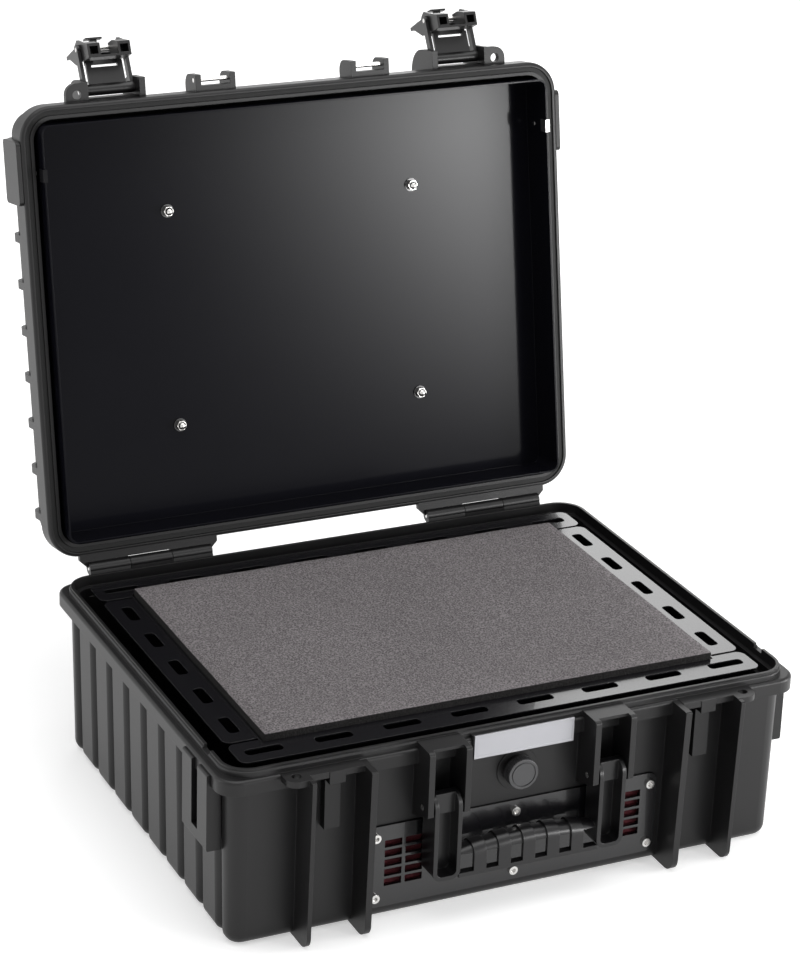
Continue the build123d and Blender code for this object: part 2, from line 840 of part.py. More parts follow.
# Inner box with slotted flanges
box_screws_at = [(x, y) for x in both_sides(box_screw_x) for y in both_sides(box_screw_y)]
with BuildPart() as inner_box:
    rounded_slab(2 * box_outer_x, 2 * box_outer_y, box_sheet + 1, (box_floor, box_flange_top))
    flange_z = (box_flange_top - box_sheet, box_flange_top)
    strip_depth = box_flange_y - flange_gap_y - flange_gap
    for side in (-1, 1):
        rounded_slab(2 * box_flange_x, strip_depth, flange_corner_radius, flange_z,
                     centre=(0, side * (box_flange_y - strip_depth / 2)))
        with BuildSketch(Plane.XY.offset(flange_z[0])) as side_strip:
            with BuildLine():
                FilletPolyline(
                    (side * (box_inner_x - 1), -flange_gap_y),
                    (side * box_flange_x, -flange_gap_y),
                    (side * box_flange_x, flange_gap_y),
                    (side * (box_inner_x - 1), flange_gap_y),
                    radius=(0, flange_corner_radius, flange_corner_radius, 0),
                    close=True,
                )
            make_face()
        extrude(side_strip.sketch, amount=box_sheet)
    rounded_slab(2 * box_inner_x, 2 * box_inner_y, 1, (box_floor + box_sheet, box_flange_top + 1),
                 mode=Mode.SUBTRACT)
    with BuildSketch(Plane.XY.offset(flange_z[0])) as flange_slots:
        rows_x = spread(box_slot_count, box_slot_pitch)
        rows_y = spread(side_slot_count, side_slot_pitch)
        with Locations(*[(x, y) for x in rows_x for y in both_sides(box_slot_row_y)]):
            RectangleRounded(box_slot_length, box_slot_width, box_slot_radius)
        with Locations(*[(x, y) for x in both_sides(side_slot_row_x) for y in rows_y]):
            RectangleRounded(box_slot_width, side_slot_length, box_slot_radius)
    extrude(flange_slots.sketch, amount=box_sheet, mode=Mode.SUBTRACT)
    upright(box_screw_radius + fit_gap, (box_floor, box_floor + box_sheet), box_screws_at, mode=Mode.SUBTRACT)
finish(inner_box, "inner_box")

with BuildPart() as box_spacers:
    upright(spacer_radius, (box_boss_top, box_floor), box_screws_at)
    upright(box_screw_radius + fit_gap, (box_boss_top, box_floor), box_screws_at, mode=Mode.SUBTRACT)
finish(box_spacers, "box_spacers")

with BuildPart() as box_screws:
    box_seat = box_floor + box_sheet
    upright(box_screw_head_radius, (box_seat, box_seat + box_screw_head_height), box_screws_at)
    upright(box_screw_radius, (floor_thickness / 2 + 1, box_seat), box_screws_at)
    upright(screw_socket_radius, (box_seat + 1, box_seat + box_screw_head_height), box_screws_at,
            mode=Mode.SUBTRACT)
finish(box_screws, "box_screws")

# Foam lining of the box and the loose pad on top
lining_x = box_inner_x - foam_gap
lining_y = box_inner_y - foam_gap
lining_top = foam_pad_top - foam_pad_thickness - foam_gap
with BuildPart() as foam_floor_pad:
    block((-lining_x, lining_x), (-lining_y, lining_y), (box_seat + foam_gap, foam_floor_top))
    upright(box_screw_head_radius + 2, (box_seat, box_seat + box_screw_head_height + 1), box_screws_at,
            mode=Mode.SUBTRACT)
finish(foam_floor_pad, "foam_floor_pad")

wall_pad_z = (foam_floor_top + foam_gap, lining_top)
with BuildPart() as foam_wall_pads:
    for side in (-1, 1):
        block((-lining_x, lining_x), (side * lining_y, side * (lining_y - foam_wall_thickness)), wall_pad_z)
        side_pad_y = lining_y - foam_wall_thickness - foam_gap
        block((side * lining_x, side * (lining_x - foam_wall_thickness)), (-side_pad_y, side_pad_y),
              wall_pad_z)
finish(foam_wall_pads, "foam_wall_pads")

with BuildPart() as foam_top_pad:
    block((-foam_pad_x, foam_pad_x), (-foam_pad_y, foam_pad_y),
          (foam_pad_top - foam_pad_thickness, foam_pad_top))
finish(foam_top_pad, "foam_top_pad")


# Carry handle
arm_inner = tower_x - handle_arm_width / 2
arm_outer = tower_x + handle_arm_width / 2
handle_front = pivot_y - handle_depth / 2
handle_back = pivot_y + handle_depth / 2


def front_outline(points, radii, y, mode=Mode.ADD):
    """A front-view outline, as (x, z) points with their corner radii, extruded between two y limits."""
    with BuildSketch(Plane.XZ.offset(-max(y))) as front_view:
        with BuildLine():
            FilletPolyline(*points, radius=radii, close=True)
        make_face()
    extrude(front_view.sketch, amount=abs(y[1] - y[0]), mode=mode)


def arched_body(rise, front, back, bottom, rounding):
    """The grip's arch between the arms, with its long top edges rounded."""
    with BuildPart() as arch:
        with BuildSketch(Plane.XZ.offset(-back)):
            with BuildLine():
                Polyline(
                    (arm_inner + 1, grip_end_top + rise),
                    (arm_inner + 1, bottom),
                    (-arm_inner - 1, bottom),
                    (-arm_inner - 1, grip_end_top + rise),
                )
                ThreePointArc(
                    (-arm_inner - 1, grip_end_top + rise),
                    (0, grip_centre_top + rise),
                    (arm_inner + 1, grip_end_top + rise),
                )
            make_face()
        extrude(amount=back - front)
        fillet(arch.edges().filter_by(GeomType.CIRCLE), rounding)
    return arch.part


grip_bar = arched_body(0, handle_front + strap_rise, handle_back - strap_rise, handle_bottom, grip_rounding)
grip_straps = arched_body(strap_rise, handle_front, handle_back, handle_bottom, grip_rounding + strap_rise)
strap_places = spread(strap_count, strap_pitch)
with BuildPart() as carry_handle:
    # Straps over the bar, with the windows between them
    add(grip_straps)
    strap_edges = [x + half for x in strap_places for half in (-strap_width / 2, strap_width / 2)]
    edges_x = [-arm_inner - 1, *strap_edges, arm_inner + 1]
    for i in range(0, len(edges_x), 2):
        block((edges_x[i], edges_x[i + 1]), (handle_front, handle_back), (handle_bottom, grip_centre_top + 9),
              mode=Mode.SUBTRACT)
    add(grip_bar)
    for i in range(0, len(edges_x), 2):
        block((edges_x[i], edges_x[i + 1]), (handle_front, handle_back), (handle_bottom, grip_bar_bottom),
              mode=Mode.SUBTRACT)
    block((-arm_inner - 1, arm_inner + 1), (handle_front + handle_wall, handle_back),
          (handle_bottom, grip_bar_bottom), mode=Mode.SUBTRACT)
    block((-arm_inner - 1, arm_inner + 1), (handle_front, handle_front + 2 * handle_wall),
          (handle_bottom, grip_lip_top))
    # Arms: channels open to the front, with a round cap about the pivot
    for side in (-1, 1):
        front_outline(
            (
                (side * arm_inner, pivot_height),
                (side * arm_inner, handle_bottom),
                (side * arm_outer, handle_bottom),
                (side * arm_outer, pivot_height),
            ),
            (0, handle_corner_radius, handle_corner_radius, 0),
            (handle_front, handle_back),
        )
        arm_x = (side * arm_inner, side * arm_outer)
        channel_inner = arm_inner + handle_wall
        channel_outer = arm_outer - handle_wall
        rod(handle_depth / 2, arm_x, (pivot_y, pivot_height))
        front_outline(
            (
                (side * channel_inner, handle_cap_bottom),
                (side * channel_inner, handle_bottom + handle_wall),
                (side * channel_outer, handle_bottom + handle_wall),
                (side * channel_outer, handle_cap_bottom),
            ),
            (0, handle_corner_radius - handle_wall, handle_corner_radius - handle_wall, 0),
            (handle_front, handle_front + handle_channel_depth),
            mode=Mode.SUBTRACT,
        )
        block((side * channel_inner, side * channel_outer), (handle_front, handle_front + handle_cap_depth),
              (handle_cap_bottom, pivot_height + handle_depth / 2), mode=Mode.SUBTRACT)
        rod(handle_pin_radius + running_gap, arm_x, (pivot_y, pivot_height), mode=Mode.SUBTRACT)
finish(carry_handle, "carry_handle")

with BuildPart() as handle_pins:
    for side in (-1, 1):
        rod(handle_pin_radius, (side * tower_ribs[0][0], side * tower_ribs[1][1]), (pivot_y, pivot_height))
finish(handle_pins, "handle_pins")

# Lid shell
with BuildPart() as lid_shell:
    rounded_slab(2 * lid_wall_x, 2 * lid_wall_y, rim_radius - lid_side_inset, (parting_height + 1, lid_top),
                 lid_frame)
    fillet(lid_shell.faces().sort_by(lid_up)[-1].edges(), lid_top_radius)
    rounded_slab(rim_width, rim_depth, rim_radius, (parting_height, lid_band_top), lid_frame)
    fillet(lid_shell.faces().sort_by(lid_up)[0].edges(), 3)
    # Ribs on both side walls, carried over the top edge
    with BuildSketch(*[lid_front.offset(-y) for y in groove_ys]):
        with BuildLine():
            FilletPolyline(
                (lid_wall_x - 12, lid_band_top - 2),
                (lid_wall_x + lid_rib_reach, lid_band_top - 2),
                (lid_wall_x + lid_rib_reach, lid_top - 0.5),
                (lid_wall_x - 12, lid_top - 0.5),
                radius=(0, 0, lid_top_radius + 2, 0),
                close=True,
            )
        make_face()
        mirror(about=Plane.YZ)
    extrude(amount=lid_rib_width / 2, both=True)
    # Latch ears
    for ear in (outer_fin, inner_fin):
        for x in (ear, (-ear[1], -ear[0])):
            side_slab(
                (
                    (-lid_wall_y + lid_wall, ear_bottom),
                    (-rim_y - ear_reach, ear_bottom),
                    (-rim_y - ear_reach, lid_top - ear_top_gap),
                    (-lid_wall_y + lid_wall, lid_top - ear_top_gap),
                ),
                x,
                (0, 0, ear_rounding, 0),
                lid_side,
            )
    # Pads on the wall between the ears
    mirrored_block((bay_low - 1, bay_high + 1), (-rim_y - ear_pad_reach, -lid_wall_y + 1),
                   (lid_band_top - 1, link_pivot_height + ear_pad_rise), lid_frame)
    for side in (-1, 1):
        rod(link_pin_radius + press_gap, (side * (bay_low - inner_fin_width / 2), side * (outer_fin[1] + 1)),
            link_pivot, lid_side, mode=Mode.SUBTRACT)
    # Padlock eyes
    for side in (-1, 1):
        with BuildSketch(lid_frame.offset(lid_eye_bottom)) as eye:
            with Locations((side * eye_x, -rim_y - eye_y_reach)):
                Circle(eye_ring_radius)
            with Locations((side * (outer_fin[0] + eye_x) / 2, -rim_y - eye_y_reach)):
                Rectangle(eye_x - outer_fin[0], 2 * eye_ring_radius)
            with Locations((side * (outer_fin[0] + eye_x + eye_ring_radius) / 2, -rim_y)):
                Rectangle(eye_x + eye_ring_radius - outer_fin[0], 2 * eye_y_reach)
        extrude(eye.sketch, amount=lid_eye_thickness)
    upright(eye_hole_radius, (lid_eye_bottom, lid_eye_bottom + lid_eye_thickness),
            [(x, -rim_y - eye_y_reach) for x in both_sides(eye_x)], lid_frame, mode=Mode.SUBTRACT)
    # Hooks above the handle towers, with a bar and a rod between the ears
    for rib in tower_ribs:
        for x in (rib, (-rib[1], -rib[0])):
            side_slab(
                (
                    (-lid_wall_y + lid_wall, hook_bottom),
                    (-rim_y - hook_reach, hook_bottom),
                    (-rim_y - hook_reach, hook_bottom + hook_height),
                    (-lid_wall_y + lid_wall, hook_bottom + hook_height),
                ),
                x,
                (0, 0, hook_rounding, 0),
                lid_side,
            )
    mirrored_block((tower_ribs[0][0], tower_ribs[1][1]), (-rim_y - hook_reach / 3, -lid_wall_y + 1),
                   (hook_bottom, hook_bottom + 8), lid_frame)
    for side in (-1, 1):
        rod(hook_rod_radius + press_gap, (side * (tower_ribs[0][0] + 2), side * (tower_ribs[1][1] + 1)),
            (-rim_y - hook_reach + 5, hook_bottom + 6), lid_side, mode=Mode.SUBTRACT)
    # Hinge leaves with their outer knuckles and stop heels
    for side in (-1, 1):
        with BuildSketch(lid_frame.offset(hinge_height + barrel_radius - leaf_thickness)) as leaf:
            with BuildLine():
                Polyline(
                    (side * (hinge_x - hinge_length / 2), rim_y - 4),
                    (side * (hinge_x - hinge_length / 2), hinge_y - leaf_corner),
                    (side * hinge_ends[0], hinge_y),
                    (side * hinge_ends[1], hinge_y),
                    (side * (hinge_x + hinge_length / 2), hinge_y - leaf_corner),
                    (side * (hinge_x + hinge_length / 2), rim_y - 4),
                    close=True,
                )
            make_face()
        extrude(leaf.sketch, amount=leaf_thickness)
        middle = knuckle_length / 2 + knuckle_gap
        for knuckle in ((hinge_ends[0], hinge_x - middle), (hinge_x + middle, hinge_ends[1])):
            knuckle_x = (side * knuckle[0], side * knuckle[1])
            rod(barrel_radius, knuckle_x, (hinge_y, hinge_height), lid_side)
            side_slab(
                (
                    (rim_y + heel_gap, skirt_bottom + 2),
                    (rim_y + heel_gap + heel_thickness, skirt_bottom + 2),
                    (hinge_y, hinge_height - barrel_radius + 0.5),
                    (hinge_y - barrel_radius + 0.5, hinge_height),
                    (rim_y + heel_gap, skirt_bottom + 8),
                ),
                knuckle_x,
            )
        block((side * (hinge_x - middle), side * (hinge_x + middle)),
              (hinge_y - barrel_radius - knuckle_clearance, hinge_y + 1),
              (hinge_height - 1, hinge_height + barrel_radius + 1), lid_frame, mode=Mode.SUBTRACT)
        rod(hinge_pin_radius + running_gap, (side * hinge_ends[0], side * hinge_ends[1]),
            (hinge_y, hinge_height), lid_side, mode=Mode.SUBTRACT)
    # Hollow inside, and the groove for the seal
    cavity_step = parting_height + lid_height - lid_wall - 7
    rounded_slab(2 * opening_x, 2 * opening_y, opening_radius, (parting_height, cavity_step), lid_frame,
                 mode=Mode.SUBTRACT)
    rounded_slab(2 * opening_x - 12, 2 * opening_y - 12, opening_radius - 6,
                 (cavity_step, lid_top - lid_wall), lid_frame, mode=Mode.SUBTRACT)
    with BuildSketch(lid_frame.offset(parting_height)) as groove:
        RectangleRounded(rim_width - 2 * seal_groove_inset, rim_depth - 2 * seal_groove_inset,
                         rim_radius - seal_groove_inset)
        RectangleRounded(
            rim_width - 2 * seal_groove_inset - 2 * seal_groove_width,
            rim_depth - 2 * seal_groove_inset - 2 * seal_groove_width,
            rim_radius - seal_groove_inset - seal_groove_width,
            mode=Mode.SUBTRACT,
        )
    extrude(groove.sketch, amount=seal_groove_depth, mode=Mode.SUBTRACT)
    # Bosses for the liner's bolts, with pockets for their heads
    liner_bolts_at = [(x, y) for x in both_sides(liner_bolt_x) for y in liner_bolt_rows]
    upright(liner_boss_radius, (liner_top, lid_top - 1), liner_bolts_at, lid_frame)
    bolt_pocket = lid_top - sealing_washer_thickness - liner_bolt_head_height - 0.5
    upright(liner_bolt_head_radius + 1.5, (bolt_pocket, lid_top), liner_bolts_at, lid_frame,
            mode=Mode.SUBTRACT)
    upright(liner_bolt_radius + fit_gap, (liner_top, lid_top), liner_bolts_at, lid_frame, mode=Mode.SUBTRACT)
finish(lid_shell, "lid_shell")

with BuildPart() as lid_seal:
    with BuildSketch(lid_frame.offset(tongue_top + seal_tongue_gap)):
        RectangleRounded(
            rim_width - 2 * seal_groove_inset - 2 * seal_side_gap,
            rim_depth - 2 * seal_groove_inset - 2 * seal_side_gap,
            rim_radius - seal_groove_inset - seal_side_gap,
        )
        RectangleRounded(
            rim_width - 2 * seal_groove_inset - 2 * seal_groove_width + 2 * seal_side_gap,
            rim_depth - 2 * seal_groove_inset - 2 * seal_groove_width + 2 * seal_side_gap,
            rim_radius - seal_groove_inset - seal_groove_width + seal_side_gap,
            mode=Mode.SUBTRACT,
        )
    extrude(amount=parting_height + seal_groove_depth - tongue_top - seal_tongue_gap)
finish(lid_seal, "lid_seal")

# Liner tray and its bolts
with BuildPart() as lid_liner:
    rounded_slab(2 * liner_x, 2 * liner_y, liner_corner_radius, (liner_edge, liner_top), lid_frame)
    rounded_slab(2 * (liner_x - liner_sheet), 2 * (liner_y - liner_sheet), liner_corner_radius - liner_sheet,
                 (liner_edge, liner_panel_height), lid_frame, mode=Mode.SUBTRACT)
    upright(liner_bolt_radius + fit_gap, (liner_panel_height, liner_top), liner_bolts_at, lid_frame,
            mode=Mode.SUBTRACT)
    for side in (-1, 1):
        rod(liner_rivet_radius + press_gap, (side * (liner_x - liner_sheet), side * liner_x),
            (edge_clip_y, liner_rivet_height), lid_side, mode=Mode.SUBTRACT)
finish(lid_liner, "lid_liner")

# Clips over the tray's side edges, and the rivets above them
with BuildPart() as liner_edge_clips:
    clip_y = (edge_clip_y - edge_clip_width / 2, edge_clip_y + edge_clip_width / 2)
    clip_inner = liner_x - liner_sheet - running_gap
    clip_outer = liner_x + running_gap
    for side in (-1, 1):
        block((side * (clip_inner - edge_clip_sheet), side * (clip_outer + edge_clip_sheet)), clip_y,
              (liner_edge - edge_clip_sheet, liner_edge + edge_clip_height), lid_frame)
        block((side * clip_inner, side * clip_outer), clip_y,
              (liner_edge - running_gap, liner_edge + edge_clip_height), lid_frame, mode=Mode.SUBTRACT)
finish(liner_edge_clips, "liner_edge_clips")

with BuildPart() as liner_rivets:
    rivet_at = (edge_clip_y, liner_rivet_height)
    for side in (-1, 1):
        rod(liner_rivet_radius, (side * (liner_x - liner_sheet), side * liner_x), rivet_at, lid_side)
        for face, away in ((liner_x - liner_sheet, -1), (liner_x, 1)):
            rod(liner_rivet_head, (side * face, side * (face + away * liner_rivet_head_height)), rivet_at,
                lid_side)
finish(liner_rivets, "liner_rivets")

head_seat = bolt_pocket + sealing_washer_thickness
nut_seat = liner_panel_height - liner_washer_thickness
nut_end = nut_seat - cap_nut_height
with BuildPart() as liner_bolts:
    upright(liner_bolt_head_radius, (head_seat, head_seat + liner_bolt_head_height), liner_bolts_at,
            lid_frame)
    upright(liner_bolt_radius, (nut_end - 1, head_seat), liner_bolts_at, lid_frame)
finish(liner_bolts, "liner_bolts")

with BuildPart() as liner_sealing_washers:
    upright(liner_bolt_head_radius + 0.8, (bolt_pocket, head_seat), liner_bolts_at, lid_frame)
    upright(liner_bolt_radius + press_gap, (bolt_pocket, head_seat), liner_bolts_at, lid_frame,
            mode=Mode.SUBTRACT)
finish(liner_sealing_washers, "liner_sealing_washers")

with BuildPart() as liner_washers:
    upright(liner_washer_radius, (nut_seat, liner_panel_height), liner_bolts_at, lid_frame)
    upright(liner_bolt_radius + press_gap, (nut_seat, liner_panel_height), liner_bolts_at, lid_frame,
            mode=Mode.SUBTRACT)
finish(liner_washers, "liner_washers")

with BuildPart() as liner_cap_nuts:
    with BuildSketch(lid_frame.offset(nut_end)):
        with Locations(*liner_bolts_at):
            RegularPolygon(cap_nut_flats / 2, 6, major_radius=False)
    extrude(amount=cap_nut_height)
    with Locations(*[lid_frame * Location((x, y, nut_end)) for x, y in liner_bolts_at]):
        Sphere(cap_dome_radius)
    upright(liner_bolt_radius + press_gap, (nut_end - 1.2, nut_seat), liner_bolts_at, lid_frame,
            mode=Mode.SUBTRACT)
finish(liner_cap_nuts, "liner_cap_nuts")

with BuildPart() as lid_hook_rods:
    for side in (-1, 1):
        rod(hook_rod_radius, (side * (tower_ribs[0][0] + 2), side * tower_ribs[1][1]),
            (-rim_y - hook_reach + 5, hook_bottom + 6), lid_side)
finish(lid_hook_rods, "lid_hook_rods")

# Strap brackets on the lid: a plate on the rim band, with a foot between two of the wall's ribs
with BuildPart() as lid_strap_brackets:
    plate_back = rim_x + running_gap
    plate_face = rim_x + lid_bracket_thickness
    rib_bay = -(groove_count / 2 - 1) * groove_pitch
    rib_bay_half = (groove_pitch - lid_rib_width) / 2 - 1
    for side in (-1, 1):
        with BuildSketch(lid_side.offset(min(side * plate_back, side * plate_face))) as bracket_plate:
            with Locations((lid_bracket_y, (lid_bracket_bottom + lid_bracket_top) / 2)):
                RectangleRounded(lid_bracket_width, lid_bracket_top - lid_bracket_bottom, 4)
        extrude(bracket_plate.sketch, amount=plate_face - plate_back)
        block(
            (side * (lid_wall_x + running_gap), side * (plate_back + 1)),
            (rib_bay - rib_bay_half, rib_bay + rib_bay_half),
            (lid_band_top + running_gap, lid_bracket_top - 2),
            lid_frame,
        )
finish(lid_strap_brackets, "lid_strap_brackets")

# Latches: a link that turns on the lid's ears and a lever on the link's end
with BuildPart() as latch_link_pins:
    for side in (-1, 1):
        rod(link_pin_radius, (side * (bay_low - inner_fin_width / 2), side * outer_fin[1]), link_pivot,
            lid_side)
finish(latch_link_pins, "latch_link_pins")

lever_pivot = (
    link_pivot[0] + link_length * cos(radians(link_rest_angle)),
    link_pivot[1] + link_length * sin(radians(link_rest_angle)),
)


def arm_box(along, across, x, frame, mode=Mode.ADD):
    """A block in an arm's side view, between limits along it, across it and in width."""
    side_slab(
        ((along[0], across[0]), (along[1], across[0]), (along[1], across[1]), (along[0], across[1])),
        x,
        0,
        frame,
        mode,
    )


closed_lever_height = link_pivot[1] + link_length * sin(radians(link_closed_angle))
hook_face = shelf_bottom - closed_lever_height - lever_hook_gap
for side, hand in ((-1, "left"), (1, "right")):
    arm = opened_side(side * latch_x, *link_pivot, link_rest_angle)
    with BuildPart() as latch_link:
        for end in (-1, 1):
            rail = (end * (link_rail_outer - link_rail_width), end * link_rail_outer)
            arm_box((0, link_length), (-link_rail_half, link_rail_half), rail, arm)
            rod(link_eye_radius, rail, (link_length, 0), arm)
        rod(link_barrel_radius, (-link_rail_outer, link_rail_outer), (0, 0), arm)
        arm_box((0, link_plate_end), (-link_plate_thickness / 2, link_plate_thickness / 2),
                (-link_plate_half_width, link_plate_half_width), arm)
        for end in (-1, 1):
            arm_box((link_plate_end - 1, link_bar[0] + 1.5), (-link_plate_thickness / 2, link_plate_thickness / 2),
                    (end * link_slot_half, end * link_plate_half_width), arm)
        arm_box(link_bar, link_bar_across, (-link_plate_half_width, link_plate_half_width), arm)
        rod(link_pin_radius + running_gap, (-link_rail_outer, link_rail_outer), (0, 0), arm,
            mode=Mode.SUBTRACT)
        rod(lever_pin_radius + press_gap, (-link_rail_outer, link_rail_outer), (link_length, 0), arm,
            mode=Mode.SUBTRACT)
    finish(latch_link, f"latch_link_{hand}")

    arm = opened_side(side * latch_x, *lever_pivot, lever_rest_angle)
    with BuildPart() as latch_lever_pin:
        rod(lever_pin_radius, (-link_rail_outer, link_rail_outer), (0, 0), arm)
    finish(latch_lever_pin, f"latch_lever_pin_{hand}")

    with BuildPart() as latch_lever:
        for end in (-1, 1):
            # Cheek, notched for the keeper shelf
            side_slab(
                (
                    (-lever_front, -lever_block_depth),
                    (hook_face, -lever_block_depth),
                    (hook_face, -link_eye_radius),
                    (lever_notch_end, -link_eye_radius),
                    (lever_notch_end, -lever_block_depth),
                    (lever_tail - 23, -lever_block_depth),
                    (lever_tail - 6, -1.5),
                    (lever_tail, -1.5),
                    (lever_tail, 1.5),
                    (20, 3),
                    (12, 3.5),
                    (9, 6.5),
                    (4, 9),
                    (-8, 4.5),
                    (-lever_front, 0.5),
                ),
                (end * (lever_half_width - lever_cheek_width), end * lever_half_width),
                0,
                arm,
            )
            # Hollow hook block
            side_slab(
                (
                    (-lever_front, -lever_block_depth),
                    (hook_face, -lever_block_depth),
                    (hook_face, -link_eye_radius),
                    (3, -3),
                    (3, link_eye_radius),
                    (-8, 4.5),
                    (-lever_front, 0.5),
                ),
                (end * lever_block_inner, end * lever_half_width),
                0,
                arm,
            )
            arm_box(
                (-lever_front, -6),
                (-lever_block_depth + lever_block_wall, -lever_block_wall),
                (end * (lever_block_inner + lever_block_wall), end * (lever_half_width - lever_block_wall)),
                arm,
                mode=Mode.SUBTRACT,
            )
        # Front cover, tail and raised tab across the lever
        arm_box((-lever_front, -8), (-lever_block_depth - 0.8, -lever_block_depth + 1),
                (-lever_half_width, lever_half_width), arm)
        arm_box((lever_tail - 14, lever_tail), (-1.5, 1.5), (-lever_half_width, lever_half_width), arm)
        arm_box((15, lever_tail - 13), (-0.3, 2), (-lever_half_width, lever_half_width), arm)
        arm_box((15.5, 19.5), (1, 11.5), (-3, 3), arm)
        arm_box((14, 21), (10.8, 12.5), (-7.5, 7.5), arm)
        rod(lever_pin_radius + running_gap, (-lever_half_width, lever_half_width), (0, 0), arm,
            mode=Mode.SUBTRACT)
    finish(latch_lever, f"latch_lever_{hand}")
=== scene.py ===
import math

import bmesh
import bpy
from mathutils import Matrix, Vector


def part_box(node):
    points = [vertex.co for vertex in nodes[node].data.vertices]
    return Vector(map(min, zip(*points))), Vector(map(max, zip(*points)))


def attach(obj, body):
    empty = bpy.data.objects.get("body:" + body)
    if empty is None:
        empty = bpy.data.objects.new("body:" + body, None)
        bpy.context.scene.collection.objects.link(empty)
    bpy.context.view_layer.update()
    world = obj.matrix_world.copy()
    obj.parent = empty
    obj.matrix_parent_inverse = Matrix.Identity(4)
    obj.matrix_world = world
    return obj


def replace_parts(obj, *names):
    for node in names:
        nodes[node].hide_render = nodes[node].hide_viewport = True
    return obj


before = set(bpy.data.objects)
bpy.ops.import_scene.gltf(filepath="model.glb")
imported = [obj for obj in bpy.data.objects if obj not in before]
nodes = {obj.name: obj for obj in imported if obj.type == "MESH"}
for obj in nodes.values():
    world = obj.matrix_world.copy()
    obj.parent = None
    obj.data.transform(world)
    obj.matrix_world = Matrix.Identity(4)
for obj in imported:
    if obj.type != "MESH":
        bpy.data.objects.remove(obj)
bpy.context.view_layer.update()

scene = bpy.context.scene
scene.view_settings.view_transform = "Standard"

# The photograph's frame and the camera that took it
picture_width, picture_height = 800, 958
focal_pixels = 3035.67
sensor_mm = 36.0
near_clip, far_clip = 0.1, 60
camera_place = Vector((-1.0282, -2.0977, 1.2571))
camera_azimuth, camera_elevation, camera_roll = (math.radians(a) for a in (25.64, 22.48, 1.87))

ahead = Vector((
    math.sin(camera_azimuth) * math.cos(camera_elevation),
    math.cos(camera_azimuth) * math.cos(camera_elevation),
    -math.sin(camera_elevation),
))
level_right = Vector((math.cos(camera_azimuth), -math.sin(camera_azimuth), 0))
level_up = level_right.cross(ahead)
right = math.cos(camera_roll) * level_right + math.sin(camera_roll) * level_up
upward = -math.sin(camera_roll) * level_right + math.cos(camera_roll) * level_up

camera = bpy.data.objects.new("camera", bpy.data.cameras.new("camera"))
camera.data.sensor_width = sensor_mm
camera.data.lens = focal_pixels * sensor_mm / max(picture_width, picture_height)
camera.data.clip_start, camera.data.clip_end = near_clip, far_clip
turned = Matrix((right, upward, -ahead)).transposed()
camera.matrix_world = Matrix.Translation(camera_place) @ turned.to_4x4()
scene.collection.objects.link(camera)
scene.camera = camera


# Shader node helpers

def set_inputs(node, **values):
    """Unlinked inputs set by name, an underscore standing for a space."""
    for name, value in values.items():
        node.inputs[name.replace("_", " ")].default_value = value


def add_node(tree, kind, **values):
    """A node of a kind, with its unlinked inputs set by name."""
    node = tree.nodes.new(kind)
    set_inputs(node, **values)
    return node


def new_material(name):
    """A material with its tree and its Principled shader."""
    material = bpy.data.materials.new(name)
    material.use_nodes = True
    return material, material.node_tree, material.node_tree.nodes["Principled BSDF"]


def calculated(tree, operation, *operands):
    """The value of a math operation on sockets and numbers."""
    node = tree.nodes.new("ShaderNodeMath")
    node.operation = operation
    for socket, operand in zip(node.inputs, operands):
        if isinstance(operand, float):
            socket.default_value = operand
        else:
            tree.links.new(operand, socket)
    return node.outputs["Value"]


def mix_numbers(tree, factor, low, high):
    """low where factor is 0 and high where it is 1."""
    node = add_node(tree, "ShaderNodeMapRange", To_Min=low, To_Max=high)
    tree.links.new(factor, node.inputs["Value"])
    return node.outputs["Result"]


def mix_colours(tree, factor, low, high):
    """One colour where factor is 0, another where it is 1."""
    node = tree.nodes.new("ShaderNodeMix")
    node.data_type = "RGBA"
    set_inputs(node, A=(*low, 1), B=(*high, 1))
    tree.links.new(factor, node.inputs["Factor"])
    return node.outputs["Result"]


def add_bump(tree, height, strength, shader):
    """A fine bump, from a height to a shader's normal."""
    bump = add_node(tree, "ShaderNodeBump", Strength=strength, Distance=0.0004)
    tree.links.new(height, bump.inputs["Height"])
    tree.links.new(bump.outputs["Normal"], shader.inputs["Normal"])


def new_group(name, inputs, outputs):
    """A shader node group with named number inputs and named outputs."""
    group = bpy.data.node_groups.new(name, "ShaderNodeTree")
    for label, value in inputs:
        socket = group.interface.new_socket(label, in_out="INPUT", socket_type="NodeSocketFloat")
        socket.default_value = value
    for label, kind in outputs:
        group.interface.new_socket(label, in_out="OUTPUT", socket_type=kind)
    return group, group.nodes.new("NodeGroupInput"), group.nodes.new("NodeGroupOutput")


